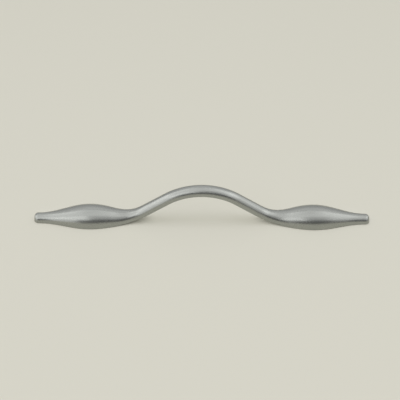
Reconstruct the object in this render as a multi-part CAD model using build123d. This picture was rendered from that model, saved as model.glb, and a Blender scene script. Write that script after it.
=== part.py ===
from build123d import *

import os
from math import atan, ceil, cos, pi, radians, sin, tan

# Cabinet bow handle, one zinc die casting: a half-round bow between two leaf-shaped feet.
# X runs along the handle, Y across it and Z out of the drawer front. The origin is midway between
# the two screw holes, on the plane of the drawer front that both feet lie on. All sizes are in mm.

# Driving dimensions of the layout
hole_spacing = 128.0
tip_overhang = 32.0  # hole centre to the blunt end of the leaf
finger_clearance = 20.7  # drawer front to the underside of the bow at its middle
heel_setback = 12.5  # hole centre to where the back starts to lift off the drawer front
ramp_length = 15.0  # straight stretch between the heel's bend and the crown's bend
heel_to_crown = 1.1  # the heel bends this much wider than the crown

# Driving dimensions of the section, a half oval on a flat back
leaf_width = 16.6
leaf_height = 9.7
tip_width = 6.6
tip_height = 4.5
bow_width = 7.6
bow_height = 5.0
leaf_run_out = 29.6  # hole centre to where the leaf has narrowed to its tip
leaf_run_in = 29.6  # hole centre, along the back, to where the leaf has narrowed to the bow
back_edge_round = 0.7
tip_edge_round = 2.2
upright_strip = 0.3  # straight part of the side, between the back edge's round and the half oval

# Driving dimensions of the blind holes, tapped M4
tapping_diameter = 3.3
drill_point_angle = 118.0
mouth_chamfer = 0.4
metal_over_hole = 1.7  # left between the drill's point and the top of the leaf

# How the shape is made
station_pitch = 5.0  # sections lie at most this far apart along the spine
trim_allowance = 2.0  # the dome is built this far past the back, then trimmed

# The spine follows the back of the handle from the tip inwards: foot, heel bend, ramp, crown bend.
hole_x = hole_spacing / 2
tip_x = hole_x + tip_overhang
heel_x = hole_x - heel_setback
ramp_angle = 2 * atan(finger_clearance / (heel_x + ramp_length))
both_radii = (heel_x * sin(ramp_angle) - finger_clearance * cos(ramp_angle)) / (1 - cos(ramp_angle))
crown_radius = both_radii / (1 + heel_to_crown)
heel_radius = both_radii - crown_radius
foot_end = tip_overhang + heel_setback
heel_end = foot_end + heel_radius * ramp_angle
ramp_end = heel_end + ramp_length
middle = ramp_end + crown_radius * ramp_angle


def spine_at(run):
    """Distance from the middle, height and slope of the back, this far along it from the tip."""
    if run <= foot_end:
        return tip_x - run, 0.0, 0.0
    if run <= heel_end:
        slope = (run - foot_end) / heel_radius
        return heel_x - heel_radius * sin(slope), heel_radius * (1 - cos(slope)), slope
    if run <= ramp_end:
        x, z, slope = spine_at(heel_end)
        return x - (run - heel_end) * cos(slope), z + (run - heel_end) * sin(slope), slope
    slope = (middle - run) / crown_radius
    return crown_radius * sin(slope), finger_clearance - crown_radius * (1 - cos(slope)), slope


def leaf_ease(run, at_tip, at_hole, at_bow):
    """A size that swells from the tip to the hole and falls again to the bow, on half cosine waves."""
    past_hole = run - tip_overhang
    end, reach = (at_bow, leaf_run_in) if past_hole > 0 else (at_tip, leaf_run_out)
    share = min(abs(past_hole) / reach, 1.0)
    return end + (at_hole - end) * (1 + cos(pi * share)) / 2


def dome_section(run, side):
    """Half oval on upright sides, square to the spine, built past the back by the trim allowance."""
    x, z, slope = spine_at(run)
    half_width = leaf_ease(run, tip_width, leaf_width, bow_width) / 2
    height = leaf_ease(run, tip_height, leaf_height, bow_height)
    side_height = back_edge_round + upright_strip
    square_to_spine = Plane(
        origin=(side * x, 0, z),
        x_dir=(0, 1, 0),
        z_dir=(cos(slope), 0, -side * sin(slope)),
    )
    oval = EllipticalCenterArc((0, side_height), half_width, height - side_height, arc_size=180)
    sides = Polyline(
        (-half_width, side_height),
        (-half_width, -trim_allowance),
        (half_width, -trim_allowance),
        (half_width, side_height),
    )
    return square_to_spine * make_face(oval + sides)


def dome():
    """The sections lofted in one run, from the left tip over the bow to the right tip."""
    steps = ceil(middle / station_pitch)
    runs = [middle * step / steps for step in range(steps + 1)]
    left = [dome_section(run, -1) for run in runs]
    right = [dome_section(run, 1) for run in reversed(runs[:-1])]
    return loft(left + right)


def back_trim():
    """What lies behind the back: flat under the feet, bent up under the bow."""
    across = max(leaf_width, tip_width, bow_width) + 2 * trim_allowance
    beyond_tip = tip_x + trim_allowance
    behind = -2 * trim_allowance
    ramp_x, ramp_z, _ = spine_at(ramp_end)
    edges = [
        ThreePointArc((-ramp_x, ramp_z), (0, finger_clearance), (ramp_x, ramp_z)),
        Polyline((-beyond_tip, 0), (-beyond_tip, behind), (beyond_tip, behind), (beyond_tip, 0)),
    ]
    for side in (-1, 1):
        runs = (foot_end, (foot_end + heel_end) / 2, heel_end, ramp_end)
        heel_foot, heel_middle, ramp_foot, ramp_head = [(side * spine_at(r)[0], spine_at(r)[1]) for r in runs]
        edges.append(Line((side * beyond_tip, 0), heel_foot))
        edges.append(ThreePointArc(heel_foot, heel_middle, ramp_foot))
        edges.append(Line(ramp_foot, ramp_head))
    return extrude(Plane.XZ * make_face(edges), across / 2, both=True)


def rim_of(faces):
    """The edges that bound these faces together, without those that two of them share."""
    edges = [edge for face in faces for edge in face.edges()]
    return [edge for edge in edges if sum(edge.is_same(other) for other in edges) == 1]


def round_tips(body):
    """Rounds the edge of both blunt ends, down to the back."""
    ends = body.faces().filter_by(Axis.X)
    edges = [edge for face in ends for edge in face.edges() if edge.center().Z > 0]
    return fillet(edges, tip_edge_round)


def round_back_edge(body):
    """Rounds the whole rim of the back, along both feet and the underside of the bow."""
    back = [
        face
        for face in body.faces()
        if face.geom_type in (GeomType.PLANE, GeomType.CYLINDER) and face.normal_at().Z < 0
    ]
    return fillet(rim_of(back), back_edge_round)


def screw_hole(side):
    """Blind tapping hole with a drilled point and a chamfered mouth, open at the back of the foot."""
    radius = tapping_diameter / 2
    point = radius / tan(radians(drill_point_angle / 2))
    top = leaf_height - metal_over_hole
    half_section = Polyline(
        (0, -mouth_chamfer),
        (radius + 2 * mouth_chamfer, -mouth_chamfer),
        (radius, mouth_chamfer),
        (radius, top - point),
        (0, top),
        close=True,
    )
    return Pos(side * hole_x, 0, 0) * revolve(Plane.XZ * make_face(half_section), Axis.Z)


def handle():
    """The casting: dome trimmed along its back, edges rounded, one hole in each foot."""
    body = round_back_edge(round_tips(dome() - back_trim()))
    for side in (-1, 1):
        body -= screw_hole(side)
    return body


os.makedirs("parts", exist_ok=True)
export_step(handle(), "parts/handle.step")
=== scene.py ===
"""Cabinet bow handle in satin nickel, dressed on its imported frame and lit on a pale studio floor.

The casting's skin, its two tapped holes and its tips are one closed surface, worked out from the same sizes
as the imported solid. All sizes in the classes are millimetres; meshes are written in metres.
"""

import logging
from dataclasses import dataclass
from dataclasses import field
from enum import Enum
from math import atan
from math import cos
from math import pi
from math import radians
from math import sin
from math import tan

import bpy
import numpy as np
from mathutils import Matrix
from mathutils import Vector


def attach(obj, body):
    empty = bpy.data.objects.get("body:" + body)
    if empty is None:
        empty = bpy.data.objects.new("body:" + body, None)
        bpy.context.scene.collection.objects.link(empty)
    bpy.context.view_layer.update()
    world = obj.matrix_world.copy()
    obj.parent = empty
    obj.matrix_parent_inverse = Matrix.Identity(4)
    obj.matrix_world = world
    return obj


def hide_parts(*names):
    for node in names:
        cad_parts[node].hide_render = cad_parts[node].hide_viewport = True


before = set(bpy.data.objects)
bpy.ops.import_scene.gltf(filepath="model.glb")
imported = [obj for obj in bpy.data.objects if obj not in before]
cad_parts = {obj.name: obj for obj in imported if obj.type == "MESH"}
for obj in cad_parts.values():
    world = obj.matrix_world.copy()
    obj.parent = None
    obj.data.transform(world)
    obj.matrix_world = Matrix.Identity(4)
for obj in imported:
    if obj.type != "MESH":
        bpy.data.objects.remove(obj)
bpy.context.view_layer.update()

MM = 0.001
BODY = "root"
CEILING = 1000.0
# The sRGB curve is a straight line up to its knee and a power from there on.
SRGB_KNEE = 0.04045
SRGB_LINE = 12.92
SRGB_OFFSET = 0.055
SRGB_POWER = 2.4
log = logging.getLogger("handle_scene")


class Side(Enum):
    """The two feet, by the sign of X that they lie on."""

    LEFT = -1
    RIGHT = 1


class Reach(Enum):
    """What a lamp's light falls on."""

    ALL = "all"
    METAL = "metal"
    FLOOR = "floor"


def linear_from_hex(colour: str) -> tuple[float, float, float, float]:
    """Turns an sRGB hex colour into linear red, green, blue and full alpha.

    Args:
        colour: Six hex digits after a hash mark.

    Returns:
        Linear values from 0 to 1, with alpha 1.
    """
    coded = np.array([int(colour[k : k + 2], 16) for k in (1, 3, 5)]) / 255.0
    curved = ((coded + SRGB_OFFSET) / (1 + SRGB_OFFSET)) ** SRGB_POWER
    linear = np.where(coded <= SRGB_KNEE, coded / SRGB_LINE, curved)
    return (float(linear[0]), float(linear[1]), float(linear[2]), 1.0)


def add_node(
    tree: bpy.types.NodeTree,
    kind: str,
    settings: dict[str, object] | None = None,
    inputs: dict[str | int, object] | None = None,
) -> bpy.types.Node:
    """Adds a node, sets it up and links it.

    Args:
        tree: The material's or world's node tree.
        kind: Blender's type name of the node.
        settings: Properties of the node itself.
        inputs: By socket name or index, a plain value or another node's output socket to link from.

    Returns:
        The new node.
    """
    node = tree.nodes.new(kind)
    for name, value in (settings or {}).items():
        setattr(node, name, value)
    for socket, value in (inputs or {}).items():
        if isinstance(value, bpy.types.NodeSocket):
            tree.links.new(value, node.inputs[socket])
        else:
            node.inputs[socket].default_value = value
    return node


def new_material(name: str) -> tuple[bpy.types.Material, bpy.types.NodeTree]:
    """Makes an empty node material.

    Args:
        name: The finish's name.

    Returns:
        The material and its cleared node tree.
    """
    material = bpy.data.materials.new(name)
    material.use_nodes = True
    material.node_tree.nodes.clear()
    return material, material.node_tree


@dataclass(frozen=True)
class SatinNickel:
    """Nickel plate over a polished zinc casting, brushed fine and even along the length.

    The brushing spreads each reflection, so the floor and the lamps show as soft bands with no sharp
    image in them. The plate is nearly neutral, a trace warm, and reflects about two fifths of the light.
    """

    name: str = "satin_nickel_plate"
    bright: str = "#a8aaa6"
    dull: str = "#a4a6a2"
    roughness_low: float = 0.26
    roughness_high: float = 0.30
    cloud_mm: float = 9.0
    cloud_detail: float = 3.0
    cloud_roughness: float = 0.55
    # Real brushing is 0.05 mm wide, too fine to show, so the lines are drawn wider.
    brush_width_mm: float = 0.45
    brush_length_mm: float = 14.0
    brush_detail: float = 4.0
    brush_roughness: float = 0.65
    brush_depth_mm: float = 0.004
    brush_strength: float = 0.05
    # The part of a noise's range that its values fill, which the tone and the gloss spread over
    noise_low: float = 0.3
    noise_high: float = 0.7
    attribute: str = "straightened"

    def material(self) -> bpy.types.Material:
        """Builds the plate's node material.

        Returns:
            A metal whose tone drifts in soft clouds and whose roughness and bump follow the brush lines.
        """
        material, tree = new_material(self.name)
        place = add_node(
            tree,
            "ShaderNodeAttribute",
            {"attribute_type": "GEOMETRY", "attribute_name": self.attribute},
        )
        clouds = add_node(
            tree,
            "ShaderNodeTexNoise",
            {"noise_dimensions": "3D"},
            {
                "Vector": place.outputs["Vector"],
                "Scale": 1 / (self.cloud_mm * MM),
                "Detail": self.cloud_detail,
                "Roughness": self.cloud_roughness,
            },
        )
        lines_along = 1 / (self.brush_length_mm * MM)
        lines_across = 1 / (self.brush_width_mm * MM)
        squeezed = add_node(
            tree,
            "ShaderNodeMapping",
            {"vector_type": "POINT"},
            {"Vector": place.outputs["Vector"], "Scale": (lines_along, lines_across, lines_across)},
        )
        lines = add_node(
            tree,
            "ShaderNodeTexNoise",
            {"noise_dimensions": "3D"},
            {
                "Vector": squeezed.outputs["Vector"],
                "Scale": 1.0,
                "Detail": self.brush_detail,
                "Roughness": self.brush_roughness,
            },
        )
        tone = add_node(tree, "ShaderNodeValToRGB", None, {"Fac": clouds.outputs["Fac"]})
        tone.color_ramp.elements[0].position = self.noise_low
        tone.color_ramp.elements[0].color = linear_from_hex(self.dull)
        tone.color_ramp.elements[1].position = self.noise_high
        tone.color_ramp.elements[1].color = linear_from_hex(self.bright)
        gloss = add_node(
            tree,
            "ShaderNodeMapRange",
            None,
            {
                "Value": lines.outputs["Fac"],
                "From Min": self.noise_low,
                "From Max": self.noise_high,
                "To Min": self.roughness_low,
                "To Max": self.roughness_high,
            },
        )
        bump = add_node(
            tree,
            "ShaderNodeBump",
            None,
            {
                "Height": lines.outputs["Fac"],
                "Strength": self.brush_strength,
                "Distance": self.brush_depth_mm * MM,
            },
        )
        shader = add_node(
            tree,
            "ShaderNodeBsdfPrincipled",
            None,
            {
                "Base Color": tone.outputs["Color"],
                "Metallic": 1.0,
                "Roughness": gloss.outputs["Result"],
                "Normal": bump.outputs["Normal"],
            },
        )
        add_node(tree, "ShaderNodeOutputMaterial", None, {"Surface": shader.outputs["BSDF"]})
        return material


@dataclass(frozen=True)
class PaintedBoard:
    """A board in matt, warm off-white paint: hardly any gloss, one even tone.

    To the camera and in the metal a share of the paint glows in its own colour, as a backdrop that is
    lit from all round does. That keeps the handle's shadow and makes it pale. Close under the handle the
    glow fades, which paints shade on the board there.
    """

    name: str = "matt_painted_board"
    colour: str = "#cfcdbf"
    roughness: float = 0.9
    specular: float = 0.2
    glow_share: float = 0.6
    # Painted shade: the glow fades where the handle hangs this close over the board and would shut out the
    # light that comes from the front left, so the board is darker there. It is gone at the closed share of
    # open view and whole at the open one.
    painted_shade_mm: float = 8.0
    painted_shade_lit_from: tuple[float, float, float] = (-0.4, -1.0, 1.0)
    painted_shade_closed: float = 0.5
    painted_shade_open: float = 0.85
    painted_shade_samples: int = 8

    def material(self) -> bpy.types.Material:
        """Builds the board's material, which a camera below the floor looks through.

        Returns:
            A matt paint on the upper face only.
        """
        material, tree = new_material(self.name)
        ray = add_node(tree, "ShaderNodeLightPath")
        seen = add_node(
            tree,
            "ShaderNodeMath",
            {"operation": "MAXIMUM"},
            {0: ray.outputs["Is Camera Ray"], 1: ray.outputs["Is Glossy Ray"]},
        )
        seen_or_through = add_node(
            tree,
            "ShaderNodeMath",
            {"operation": "MAXIMUM"},
            {0: seen.outputs["Value"], 1: ray.outputs["Is Transmission Ray"]},
        )
        lit_from = add_node(tree, "ShaderNodeCombineXYZ", None, dict(zip("XYZ", self.painted_shade_lit_from)))
        cover = add_node(
            tree,
            "ShaderNodeAmbientOcclusion",
            {"samples": self.painted_shade_samples},
            {"Distance": self.painted_shade_mm * MM, "Normal": lit_from.outputs["Vector"]},
        )
        # Painted shade: the glow's share falls to nothing where the board is shut in close under the handle,
        # which darkens it there.
        glow_clear_of_painted_shade = add_node(
            tree,
            "ShaderNodeMapRange",
            None,
            {
                "Value": cover.outputs["AO"],
                "From Min": self.painted_shade_closed,
                "From Max": self.painted_shade_open,
                "To Max": self.glow_share,
            },
        )
        share = add_node(
            tree,
            "ShaderNodeMath",
            {"operation": "MULTIPLY"},
            {0: seen_or_through.outputs["Value"], 1: glow_clear_of_painted_shade.outputs["Result"]},
        )
        paint = add_node(
            tree,
            "ShaderNodeBsdfPrincipled",
            None,
            {
                "Base Color": linear_from_hex(self.colour),
                "Roughness": self.roughness,
                "Specular IOR Level": self.specular,
            },
        )
        glow = add_node(
            tree,
            "ShaderNodeEmission",
            None,
            {"Color": linear_from_hex(self.colour), "Strength": 1.0},
        )
        board = add_node(
            tree,
            "ShaderNodeMixShader",
            None,
            {0: share.outputs["Value"], 1: paint.outputs["BSDF"], 2: glow.outputs["Emission"]},
        )
        below = add_node(tree, "ShaderNodeNewGeometry")
        clear = add_node(tree, "ShaderNodeBsdfTransparent")
        faced = add_node(
            tree,
            "ShaderNodeMixShader",
            None,
            {0: below.outputs["Backfacing"], 1: board.outputs["Shader"], 2: clear.outputs["BSDF"]},
        )
        add_node(tree, "ShaderNodeOutputMaterial", None, {"Surface": faced.outputs["Shader"]})
        return material


@dataclass(frozen=True)
class BowSpine:
    """The line that the flat back follows, alike on both sides: foot, heel bend, ramp and crown bend."""

    hole_spacing: float = 128.0
    tip_overhang: float = 32.0
    finger_clearance: float = 20.7
    heel_setback: float = 12.5
    ramp_length: float = 15.0
    heel_to_crown: float = 1.1

    @property
    def hole_x(self) -> float:
        """Middle of the handle to each screw hole."""
        return self.hole_spacing / 2

    @property
    def tip_x(self) -> float:
        """Middle of the handle to each blunt end."""
        return self.hole_x + self.tip_overhang

    @property
    def heel_x(self) -> float:
        """Middle of the handle to where the back lifts off the drawer front."""
        return self.hole_x - self.heel_setback

    @property
    def ramp_angle(self) -> float:
        """Slope of the ramp, which both bends turn through."""
        return 2 * atan(self.finger_clearance / (self.heel_x + self.ramp_length))

    @property
    def both_radii(self) -> float:
        """Heel and crown radius together, so that the bends and the ramp meet in tangents."""
        rise = self.heel_x * sin(self.ramp_angle) - self.finger_clearance * cos(self.ramp_angle)
        return rise / (1 - cos(self.ramp_angle))

    @property
    def crown_radius(self) -> float:
        """Radius of the back at the top of the bow."""
        return self.both_radii / (1 + self.heel_to_crown)

    @property
    def heel_radius(self) -> float:
        """Radius of the back where it lifts off the drawer front."""
        return self.both_radii - self.crown_radius

    @property
    def foot_end(self) -> float:
        """Run from the tip to the heel's bend."""
        return self.tip_overhang + self.heel_setback

    @property
    def heel_end(self) -> float:
        """Run from the tip to the ramp."""
        return self.foot_end + self.heel_radius * self.ramp_angle

    @property
    def ramp_end(self) -> float:
        """Run from the tip to the crown's bend."""
        return self.heel_end + self.ramp_length

    @property
    def middle(self) -> float:
        """Run from the tip to the middle of the bow."""
        return self.ramp_end + self.crown_radius * self.ramp_angle

    def at(self, run: np.ndarray) -> tuple[np.ndarray, np.ndarray, np.ndarray]:
        """Walks along the back from a tip.

        The slope grows with the run round the heel, stays on the ramp and falls to nothing at the middle.
        Place is a straight line on the foot and the ramp, and a circle's sine and cosine on both bends.

        Args:
            run: Distances along the back from the tip, up to the middle.

        Returns:
            Distance from the middle, height over the drawer front, and slope, one each for every run.
        """
        round_heel = np.clip((run - self.foot_end) / self.heel_radius, 0.0, self.ramp_angle)
        slope = np.minimum(round_heel, (self.middle - run) / self.crown_radius)
        past_heel = run - self.heel_end
        heel_x = self.heel_x - self.heel_radius * np.sin(round_heel)
        heel_z = self.heel_radius * (1 - np.cos(round_heel))
        zones = [run <= self.foot_end, run <= self.heel_end, run <= self.ramp_end]
        x = np.select(
            zones,
            [self.tip_x - run, heel_x, heel_x - past_heel * cos(self.ramp_angle)],
            self.crown_radius * np.sin(slope),
        )
        z = np.select(
            zones,
            [np.zeros_like(run), heel_z, heel_z + past_heel * sin(self.ramp_angle)],
            self.finger_clearance - self.crown_radius * (1 - np.cos(slope)),
        )
        return x, z, slope


@dataclass(frozen=True)
class TappedHole:
    """A blind hole with an M4 thread, open at the back of a foot."""

    tapping_diameter: float = 3.3
    thread_diameter: float = 4.0
    thread_pitch: float = 0.7
    flank_angle: float = 60.0
    # Share of the pitch that is flat at the thread's root
    root_flat: float = 0.125
    drill_point_angle: float = 118.0
    mouth_chamfer: float = 0.4
    depth: float = 8.0
    run_out: float = 1.0
    rows_in_pitch: int = 20
    cone_rows: int = 4

    @property
    def bore_radius(self) -> float:
        """Radius of the tapping drill, which is that of the thread's crests."""
        return self.tapping_diameter / 2

    @property
    def mouth_radius(self) -> float:
        """Radius of the chamfer's edge in the back."""
        return self.bore_radius + self.mouth_chamfer

    @property
    def bore_end(self) -> float:
        """Depth of the straight bore, to where the drill's point begins."""
        return self.depth - self.bore_radius / tan(radians(self.drill_point_angle / 2))

    def rings(self, turn: np.ndarray) -> tuple[np.ndarray, np.ndarray]:
        """Works out the bore as rings of points, from its mouth to the drill's point.

        The radius is a function of turn and depth. A phase climbs by one for each pitch of depth and falls
        by one for each full turn, which is a right-hand helix. Across one phase the thread is a V of 60
        degrees, flat at its root and cut off at the bore. It fades out before the end of the bore. The
        chamfer's cone cuts into it at the mouth, and the drill's cone follows it.

        Args:
            turn: Angle of each point of a ring, in radians.

        Returns:
            Radius and depth, both by ring and then by turn, without the tip of the drill's point.
        """
        rows = round(self.bore_end / self.thread_pitch * self.rows_in_pitch)
        depth = np.linspace(0.0, self.bore_end, rows + 1)[:, None]
        phase = np.mod(depth / self.thread_pitch - turn[None, :] / (2 * pi), 1.0)
        from_root = np.abs(phase - 0.5) * self.thread_pitch - self.root_flat * self.thread_pitch / 2
        cut = self.thread_diameter / 2 - self.bore_radius
        groove = np.clip(cut - np.maximum(from_root, 0.0) / tan(radians(self.flank_angle / 2)), 0.0, cut)
        fade = np.clip((self.bore_end - self.run_out / 2 - depth) / self.run_out, 0.0, 1.0)
        radius = np.maximum(self.bore_radius + groove * fade, self.mouth_radius - depth)
        narrow = np.linspace(1.0, 0.0, self.cone_rows + 1)[1:-1, None]
        cone_radius = self.bore_radius * narrow + 0 * turn[None, :]
        cone_depth = self.bore_end + (self.depth - self.bore_end) * (1 - narrow) + 0 * turn[None, :]
        straight_depth = depth + 0 * turn[None, :]
        return np.vstack([radius, cone_radius]), np.vstack([straight_depth, cone_depth])


@dataclass
class HandleCasting:
    """The whole handle: a half-oval bow on a flat back between two leaf-shaped feet, with a hole in each."""

    spine: BowSpine = field(default_factory=BowSpine)
    hole: TappedHole = field(default_factory=TappedHole)
    finish: SatinNickel = field(default_factory=SatinNickel)
    name: str = "handle_casting"
    node: str = "handle"
    slot: str = "satin_nickel"
    leaf_width: float = 16.6
    leaf_height: float = 9.7
    tip_width: float = 6.6
    tip_height: float = 4.5
    bow_width: float = 7.6
    bow_height: float = 5.0
    leaf_run_out: float = 29.6
    leaf_run_in: float = 29.6
    back_edge_round: float = 0.7
    tip_edge_round: float = 2.2
    upright_strip: float = 0.3
    # Share of the back edge's round that is left at the corners of the blunt end
    corner_keep: float = 0.4
    # Square of back around each hole that the rings of the hole take up
    window: float = 6.4
    row_pitch: float = 0.58
    dome_columns: int = 96
    round_columns: int = 6
    strip_columns: int = 2
    window_columns: int = 16
    beside_columns: int = 4
    # Share of the back, next to its rim, that a narrow column takes so that the flat shades as flat
    rim_share: float = 0.03
    tip_rows: int = 10
    cap_rows: int = 4
    mouth_rows: int = 4
    crease_angle: float = 32.0

    def ease(self, run: np.ndarray, at_tip: float, at_hole: float, at_bow: float) -> np.ndarray:
        """Swells a size from the tip to the hole and lets it fall again to the bow, on half cosine waves.

        Args:
            run: Distances along the back from the tip.
            at_tip: The size at the tip.
            at_hole: The size at the screw hole.
            at_bow: The size all along the bow.

        Returns:
            The size at each run.
        """
        past_hole = run - self.spine.tip_overhang
        inward = past_hole > 0
        end = np.where(inward, at_bow, at_tip)
        share = np.minimum(np.abs(past_hole) / np.where(inward, self.leaf_run_in, self.leaf_run_out), 1.0)
        return end + (at_hole - end) * (1 + np.cos(pi * share)) / 2

    def half_runs(self) -> np.ndarray:
        """Places the rows from one tip to the middle.

        Returns:
            Runs from the tip, close together round the tip's edge, on the borders of the hole's window and
            at each change of the spine's curve.
        """
        spine = self.spine
        borders = [
            self.tip_edge_round,
            spine.tip_overhang - self.window / 2,
            spine.tip_overhang + self.window / 2,
            spine.foot_end,
            spine.heel_end,
            spine.ramp_end,
            spine.middle,
        ]
        round_tip = self.tip_edge_round * (1 - np.cos(np.linspace(0, pi / 2, self.tip_rows + 1)))
        stretches = [round_tip]
        for start, end in zip(borders[:-1], borders[1:]):
            steps = self.window_columns if start == borders[1] else round((end - start) / self.row_pitch)
            stretches.append(np.linspace(start, end, steps + 1)[1:])
        return np.concatenate(stretches)

    def columns(self) -> dict[str, np.ndarray]:
        """Describes the way round a section, once for all rows.

        From the far foot of the half oval over its top to the near foot, down the near side and round its
        edge, along the back, and up the far side again. Each column holds shares of the section's own
        sizes: its place across is a share of the half width and of the edge's round, and its height is a
        share of the round, the upright strip and the half oval's rise.

        Returns:
            The shares by name, as arrays of one number a column.
        """
        over = np.linspace(0, pi, self.dome_columns + 1)
        down = np.linspace(1, 0, self.strip_columns + 1)[1:]
        near = np.linspace(pi, 1.5 * pi, self.round_columns + 1)[1:]
        far = np.linspace(1.5 * pi, 2 * pi, self.round_columns + 1)[1:]
        up = np.linspace(0, 1, self.strip_columns + 1)[1:-1]
        flat = self.back_shares()[1:]
        none = [np.zeros_like(part) for part in (over, down, near, flat, far, up)]
        one = [np.ones_like(part) for part in (over, down, near, flat, far, up)]
        return {
            "width": np.concatenate([np.cos(over), -one[1], -one[2], flat, one[4], one[5]]),
            "across": np.concatenate([none[0], none[1], 1 + np.cos(near), -flat, np.cos(far) - 1, none[5]]),
            "edge": np.concatenate([one[0], one[1], 1 + np.sin(near), none[3], 1 + np.sin(far), one[5]]),
            "strip": np.concatenate([one[0], down, none[2], none[3], none[4], up]),
            "rise": np.concatenate([np.sin(over), none[1], none[2], none[3], none[4], none[5]]),
        }

    def back_shares(self) -> np.ndarray:
        """Spreads the columns across the back, from the near rim at minus one to the far rim at one.

        Returns:
            Shares of the back's half width, with a narrow column at each rim and the window's in the middle.
        """
        edge = self.window / (self.leaf_width - 2 * self.back_edge_round)
        inside = np.linspace(-edge, edge, self.window_columns + 1)
        beside = np.linspace(edge, 1 - self.rim_share, self.beside_columns + 1)[1:]
        return np.concatenate([[-1.0], -beside[::-1], inside, beside, [1.0]])

    def skin(self) -> tuple[np.ndarray, np.ndarray]:
        """Carries the section along the spine, from the left tip to the right one.

        Every section stands square to the spine. Its half width and height follow the leaf's swell. Within
        the tip's round they shrink as a quarter circle does, and the rows of the blunt end then draw in to
        its middle.

        Returns:
            Points by row and column, and the same points with the spine pulled straight.
        """
        half = self.half_runs()
        drawn_in = np.linspace(0, 1, self.cap_rows + 2)[1:-1]
        half_rows = np.concatenate([np.zeros(self.cap_rows), half])
        half_draw = np.concatenate([drawn_in, np.ones(len(half))])
        run = np.concatenate([half_rows, half_rows[-2::-1]])[:, None]
        draw = np.concatenate([half_draw, half_draw[-2::-1]])[:, None]
        side = np.where(np.arange(len(run)) < len(half_rows), Side.LEFT.value, Side.RIGHT.value)[:, None]
        inside_tip = np.clip(self.tip_edge_round - run, 0, self.tip_edge_round)
        inside_back = np.clip(self.back_edge_round - run, 0, self.back_edge_round)
        inset = self.tip_edge_round - np.sqrt(self.tip_edge_round**2 - inside_tip**2)
        lift = self.back_edge_round - np.sqrt(self.back_edge_round**2 - inside_back**2)
        half_width = self.ease(run, self.tip_width, self.leaf_width, self.bow_width) / 2 - inset
        height = self.ease(run, self.tip_height, self.leaf_height, self.bow_height) - inset
        edge = self.back_edge_round - (1 - self.corner_keep) * lift
        share = {name: part[None, :] for name, part in self.columns().items()}
        foot = lift + edge + self.upright_strip
        across = share["width"] * half_width + share["across"] * edge
        side_height = share["edge"] * edge + share["strip"] * self.upright_strip
        over = lift + side_height + share["rise"] * (height - foot)
        centre = (lift + height) / 2
        across = across * draw
        over = centre + (over - centre) * draw
        x, z, slope = self.spine.at(run)
        points = np.stack(
            [side * (x + over * np.sin(slope)), across, z + over * np.cos(slope)],
            axis=-1,
        )
        along = side * (self.spine.middle - run) + 0 * across
        return points, np.stack([along, across, over], axis=-1)

    def build(self) -> bpy.types.Object:
        """Makes the casting's mesh: the skin, the blunt ends, the rings round each hole and the bores.

        Returns:
            The object, with its place in its mesh.
        """
        skin, straight = self.skin()
        rows, columns = skin.shape[:2]
        index = np.arange(rows * columns).reshape(rows, columns)
        points = [skin.reshape(-1, 3)]
        pulled = [straight.reshape(-1, 3)]
        back_start = self.dome_columns + self.strip_columns + self.round_columns
        first = back_start + 1 + self.beside_columns
        last = first + self.window_columns
        window_start = self.spine.tip_overhang - self.window / 2
        window_row = self.cap_rows + int(np.abs(self.half_runs() - window_start).argmin())
        # The first and the last row shrink to one point each, which a fan joins to the next row.
        kept = np.ones((rows - 1, columns), dtype=bool)
        kept[0, :] = False
        kept[-1, :] = False
        quads = []
        fans = []
        total = rows * columns
        for side in Side:
            low = window_row if side is Side.LEFT else rows - 1 - window_row - self.window_columns
            high = low + self.window_columns
            kept[low:high, first:last] = False
            rim = np.concatenate(
                [
                    index[low, first:last],
                    index[low:high, last],
                    index[high, last:first:-1],
                    index[high:low:-1, first],
                ]
            )
            ring_points = self.hole_rings(points[0][rim], side)
            ring_count = len(ring_points)
            ring_index = total + np.arange(ring_count * len(rim)).reshape(ring_count, len(rim))
            shift = np.array([side.value * (self.spine.middle - self.spine.tip_x), 0.0, 0.0])
            tip = np.array([[side.value * self.spine.hole_x, 0.0, self.hole.depth]])
            points += [ring_points.reshape(-1, 3), tip]
            pulled += [ring_points.reshape(-1, 3) + shift, tip + shift]
            total += ring_count * len(rim) + 1
            quads.append(self.strips(np.vstack([rim, ring_index])))
            fans.append(self.fan(ring_index[-1], total - 1))
        for row, neighbour, turned in ((0, 1, True), (rows - 1, rows - 2, False)):
            end = points[0][index[row]].mean(axis=0, keepdims=True)
            points.append(end)
            pulled.append(pulled[0][index[row]].mean(axis=0, keepdims=True))
            fans.append(self.fan(index[neighbour][::-1] if turned else index[neighbour], total))
            total += 1
        beside = np.roll(index, -1, axis=1)
        around = np.stack([index[:-1], beside[:-1], beside[1:], index[1:]], axis=-1)
        quads.append(around[kept])
        return self.mesh_object(*(np.concatenate(parts) for parts in (points, pulled, quads, fans)))

    def hole_rings(self, rim: np.ndarray, side: Side) -> np.ndarray:
        """Works out the rings from the border of a hole's window to the drill's point.

        Each ring has a point for each point of the border, on the same ray from the hole's axis. On the back
        the rings go from the border to the mouth in even steps, and from there they follow the bore.

        Args:
            rim: The window's border points, in order.
            side: The foot that the hole is in.

        Returns:
            Points by ring and then by place on the border.
        """
        axis_x = side.value * self.spine.hole_x
        turn = np.arctan2(rim[:, 1], rim[:, 0] - axis_x)
        reach = np.hypot(rim[:, 1], rim[:, 0] - axis_x)
        share = np.linspace(0, 1, self.mouth_rows + 1)[1:-1, None]
        flat_radius = reach[None, :] * (1 - share) + self.hole.mouth_radius * share
        bore_radius, bore_depth = self.hole.rings(turn)
        radius = np.vstack([flat_radius, bore_radius])
        depth = np.vstack([np.zeros_like(flat_radius), bore_depth])
        return np.stack([axis_x + radius * np.cos(turn), radius * np.sin(turn), depth], axis=-1)

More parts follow.
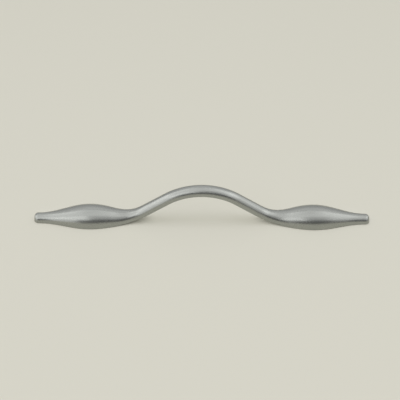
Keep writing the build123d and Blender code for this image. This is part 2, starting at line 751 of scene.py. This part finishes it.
    @staticmethod
    def strips(rings: np.ndarray) -> np.ndarray:
        """Joins rings of point numbers, each to the next, with four-sided faces.

        Args:
            rings: Point numbers by ring and then by place on the ring.

        Returns:
            Four point numbers a face.
        """
        beside = np.roll(rings, -1, axis=1)
        return np.stack([rings[:-1], beside[:-1], beside[1:], rings[1:]], axis=-1).reshape(-1, 4)

    @staticmethod
    def fan(ring: np.ndarray, tip: int) -> np.ndarray:
        """Closes a ring of point numbers to one point with three-sided faces.

        Args:
            ring: Point numbers in order round the ring.
            tip: Number of the point that all faces share.

        Returns:
            Three point numbers a face.
        """
        return np.stack([ring, np.roll(ring, -1), np.full_like(ring, tip)], axis=-1)

    def mesh_object(
        self, points: np.ndarray, pulled: np.ndarray, quads: np.ndarray, fans: np.ndarray
    ) -> bpy.types.Object:
        """Puts the arrays into a mesh, smooth apart from its sharp edges, with the straightened place.

        Args:
            points: Every point, in millimetres.
            pulled: Every point with the spine pulled straight.
            quads: Four point numbers a face.
            fans: Three point numbers a face.

        Returns:
            The object, linked into the scene.
        """
        used, renumbered = np.unique(np.concatenate([quads.ravel(), fans.ravel()]), return_inverse=True)
        quads = renumbered[: quads.size].reshape(quads.shape)
        fans = renumbered[quads.size :].reshape(fans.shape)
        mesh = bpy.data.meshes.new(self.name)
        mesh.from_pydata((points[used] * MM).tolist(), [], quads.tolist() + fans.tolist())
        place = mesh.attributes.new(self.finish.attribute, "FLOAT_VECTOR", "POINT")
        place.data.foreach_set("vector", (pulled[used] * MM).astype(np.float32).ravel())
        mesh.polygons.foreach_set("use_smooth", np.ones(len(mesh.polygons), dtype=bool))
        mesh.set_sharp_from_angle(angle=radians(self.crease_angle))
        mesh.update()
        piece = bpy.data.objects.new(self.name, mesh)
        bpy.context.scene.collection.objects.link(piece)
        return piece

    def dress(self, piece: bpy.types.Object) -> None:
        """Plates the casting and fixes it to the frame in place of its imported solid.

        Args:
            piece: The casting's object.
        """
        piece.data.materials.append(self.finish.material())
        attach(piece, BODY)
        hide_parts(self.node)


@dataclass(frozen=True)
class SoftPanel:
    """A flat panel of even light that hangs in the studio, facing a point."""

    name: str
    centre: tuple[float, float, float]
    aim: tuple[float, float, float]
    width: float
    length: float
    radiance: float
    reach: Reach = Reach.ALL
    colour: str = "#ffffff"

    def build(self) -> bpy.types.Object:
        """Hangs the panel. Its power is its radiance times pi times its area.

        Returns:
            The lamp's object.
        """
        lamp = bpy.data.lights.new(self.name, "AREA")
        lamp.shape = "RECTANGLE"
        lamp.size = self.width * MM
        lamp.size_y = self.length * MM
        lamp.energy = self.radiance * pi * lamp.size * lamp.size_y
        lamp.color = linear_from_hex(self.colour)[:3]
        panel = bpy.data.objects.new(self.name, lamp)
        panel.visible_diffuse = self.reach is not Reach.METAL
        panel.visible_glossy = self.reach is not Reach.FLOOR
        centre = Vector(self.centre) * MM
        panel.location = centre
        panel.rotation_mode = "QUATERNION"
        panel.rotation_quaternion = (Vector(self.aim) * MM - centre).to_track_quat("-Z", "Y")
        bpy.context.scene.collection.objects.link(panel)
        return panel


@dataclass(frozen=True)
class Room:
    """The walls round the lamps: dark in front, where the camera stands, and paler behind the handle.

    Each wall is a list of elevations over the floor, in degrees, with the light that comes from there.
    """

    name: str = "studio_room"
    front: tuple[tuple[float, float], ...] = ((0.0, 0.13), (90.0, 0.19))
    back: tuple[tuple[float, float], ...] = ((0.0, 0.47), (30.0, 0.69), (60.0, 1.09), (90.0, 0.19))
    # How far to each side, as a share of Y in the direction looked in, the walls blend into each other
    turn: float = 0.9
    # Where a ramp's new stop starts out, before it gets its place
    ramp_middle: float = 0.5

    def wall(
        self,
        tree: bpy.types.NodeTree,
        height: bpy.types.NodeSocket,
        stops: tuple[tuple[float, float], ...],
    ) -> bpy.types.Node:
        """Grades one wall from the floor to the ceiling.

        Args:
            tree: The world's node tree.
            height: Sine of the elevation of the direction looked in.
            stops: Elevations with their light.

        Returns:
            The node whose colour is the wall's light.
        """
        ramp = add_node(tree, "ShaderNodeValToRGB", None, {"Fac": height})
        while len(ramp.color_ramp.elements) < len(stops):
            ramp.color_ramp.elements.new(self.ramp_middle)
        for element, (elevation, light) in zip(ramp.color_ramp.elements, stops):
            element.position = sin(radians(elevation))
            element.color = (light, light, light, 1.0)
        return ramp

    def build(self) -> bpy.types.World:
        """Builds the room, which turns from its front to its back wall across the sides.

        Returns:
            The scene's world.
        """
        world = bpy.data.worlds.new(self.name)
        world.use_nodes = True
        tree = world.node_tree
        tree.nodes.clear()
        looked = add_node(tree, "ShaderNodeTexCoord")
        parts = add_node(tree, "ShaderNodeSeparateXYZ", None, {"Vector": looked.outputs["Generated"]})
        front = self.wall(tree, parts.outputs["Z"], self.front)
        back = self.wall(tree, parts.outputs["Z"], self.back)
        behind = add_node(
            tree,
            "ShaderNodeMapRange",
            {"interpolation_type": "SMOOTHSTEP"},
            {"Value": parts.outputs["Y"], "From Min": -self.turn, "From Max": self.turn},
        )
        light = add_node(
            tree,
            "ShaderNodeMixRGB",
            None,
            {
                "Fac": behind.outputs["Result"],
                "Color1": front.outputs["Color"],
                "Color2": back.outputs["Color"],
            },
        )
        shine = add_node(
            tree,
            "ShaderNodeBackground",
            None,
            {"Color": light.outputs["Color"], "Strength": 1.0},
        )
        add_node(tree, "ShaderNodeOutputWorld", None, {"Surface": shine.outputs["Background"]})
        bpy.context.scene.world = world
        return world


def ceiling_panel(
    name: str,
    left: float,
    right: float,
    front: float,
    back: float,
    radiance: float,
) -> SoftPanel:
    """Places a panel that hangs level over the handle, by the edges of its outline.

    Args:
        name: The panel's name.
        left: X of its left edge.
        right: X of its right edge.
        front: Y of its front edge.
        back: Y of its back edge.
        radiance: Its light.

    Returns:
        The panel, facing straight down.
    """
    x = (left + right) / 2
    y = (front + back) / 2
    return SoftPanel(name, (x, y, CEILING), (x, y, 0.0), right - left, back - front, radiance)


def wall_panel(
    name: str,
    x: float,
    front: float,
    back: float,
    low: float,
    high: float,
    radiance: float,
) -> SoftPanel:
    """Places an upright panel beside the handle that shows in its metal, by the edges of its outline.

    Args:
        name: The panel's name.
        x: X of the panel.
        front: Y of its front edge.
        back: Y of its back edge.
        low: Height of its lower edge.
        high: Height of its upper edge.
        radiance: Its light.

    Returns:
        The panel, facing level across the handle.
    """
    y = (front + back) / 2
    z = (low + high) / 2
    return SoftPanel(name, (x, y, z), (0.0, y, z), back - front, high - low, radiance, Reach.METAL)


@dataclass
class Studio:
    """The pale board that the handle lies on, the lamps and the dim room round them."""

    board: PaintedBoard = field(default_factory=PaintedBoard)
    room: Room = field(default_factory=Room)
    floor_name: str = "studio_floor"
    floor_half: float = 6000.0
    floor_drop: float = 0.02
    floor_steps: int = 24
    panels: tuple[SoftPanel, ...] = (
        ceiling_panel("front_left_panel", -1500.0, -240.0, -2280.0, -700.0, 1.26),
        ceiling_panel("overhead_panel", -1580.0, 1580.0, -700.0, 340.0, 0.81),
        ceiling_panel("front_right_panel", -240.0, 1500.0, -1830.0, -700.0, 0.50),
        SoftPanel(
            name="key_panel",
            centre=(0.0, -55.0, CEILING),
            aim=(0.0, -55.0, 0.0),
            width=440.0,
            length=440.0,
            radiance=6.6,
            reach=Reach.FLOOR,
            colour="#e7e8ff",
        ),
        wall_panel("left_box", -1800.0, -3600.0, 1020.0, 10.0, 1420.0, 0.98),
        wall_panel("right_box", 1800.0, -2500.0, 1800.0, 330.0, 2000.0, 0.56),
    )

    def build_floor(self) -> bpy.types.Object:
        """Lays the board: an even grid, flat, just under the handle's back.

        Returns:
            The floor's object.
        """
        line = np.linspace(-self.floor_half, self.floor_half, self.floor_steps + 1) * MM
        x, y = np.meshgrid(line, line)
        points = np.stack([x, y, np.full_like(x, -self.floor_drop * MM)], axis=-1).reshape(-1, 3)
        index = np.arange(points.shape[0]).reshape(x.shape)
        corners = [index[:-1, :-1], index[:-1, 1:], index[1:, 1:], index[1:, :-1]]
        faces = np.stack(corners, axis=-1).reshape(-1, 4)
        mesh = bpy.data.meshes.new(self.floor_name)
        mesh.from_pydata(points.tolist(), [], faces.tolist())
        mesh.materials.append(self.board.material())
        floor = bpy.data.objects.new(self.floor_name, mesh)
        bpy.context.scene.collection.objects.link(floor)
        return floor


@dataclass
class StillCamera:
    """A long lens that looks down on the handle from in front, with its angles in degrees."""

    name: str = "still_camera"
    target: tuple[float, float, float] = (0.0, 0.0, 8.0)
    distance: float = 700.0
    elevation: float = 42.0
    roll: float = 0.229
    picture: int = 400
    focal_pixels: float = 1226.4
    sensor: float = 36.0
    # Where the target shows, in pixels from the middle of the picture
    target_right: float = 1.845
    target_down: float = 9.88
    # Distances in metres between which things show
    clip_near: float = 0.01
    clip_far: float = 50.0

    def build(self) -> bpy.types.Object:
        """Sets the camera up so that the target shows at its place in the picture.

        Returns:
            The camera's object, made the scene's own.
        """
        lens = bpy.data.cameras.new(self.name)
        lens.sensor_width = self.sensor
        lens.lens = self.focal_pixels * self.sensor / self.picture
        lens.shift_x = -self.target_right / self.picture
        lens.shift_y = self.target_down / self.picture
        lens.clip_start = self.clip_near
        lens.clip_end = self.clip_far
        up = radians(self.elevation)
        back = Vector((0.0, -cos(up), sin(up)))
        turn = (-back).to_track_quat("-Z", "Y").to_matrix().to_4x4()
        camera = bpy.data.objects.new(self.name, lens)
        place = Matrix.Translation((Vector(self.target) + back * self.distance) * MM)
        camera.matrix_world = place @ turn @ Matrix.Rotation(radians(self.roll), 4, "Z")
        bpy.context.scene.collection.objects.link(camera)
        bpy.context.scene.camera = camera
        return camera


def main() -> None:
    """Builds the handle, the studio and the camera, in that order."""
    logging.basicConfig(level=logging.INFO, format="%(name)s: %(message)s")
    bpy.context.scene.view_settings.view_transform = "Standard"
    casting = HandleCasting()
    piece = casting.build()
    casting.dress(piece)
    mesh = piece.data
    log.info("%s: %d points, %d faces", piece.name, len(mesh.vertices), len(mesh.polygons))
    studio = Studio()
    log.info("%s laid", studio.build_floor().name)
    log.info("%s filled", studio.room.build().name)
    for panel in studio.panels:
        log.info("%s hung", panel.build().name)
    log.info("%s set", StillCamera().build().name)


if __name__ == "__main__":
    main()
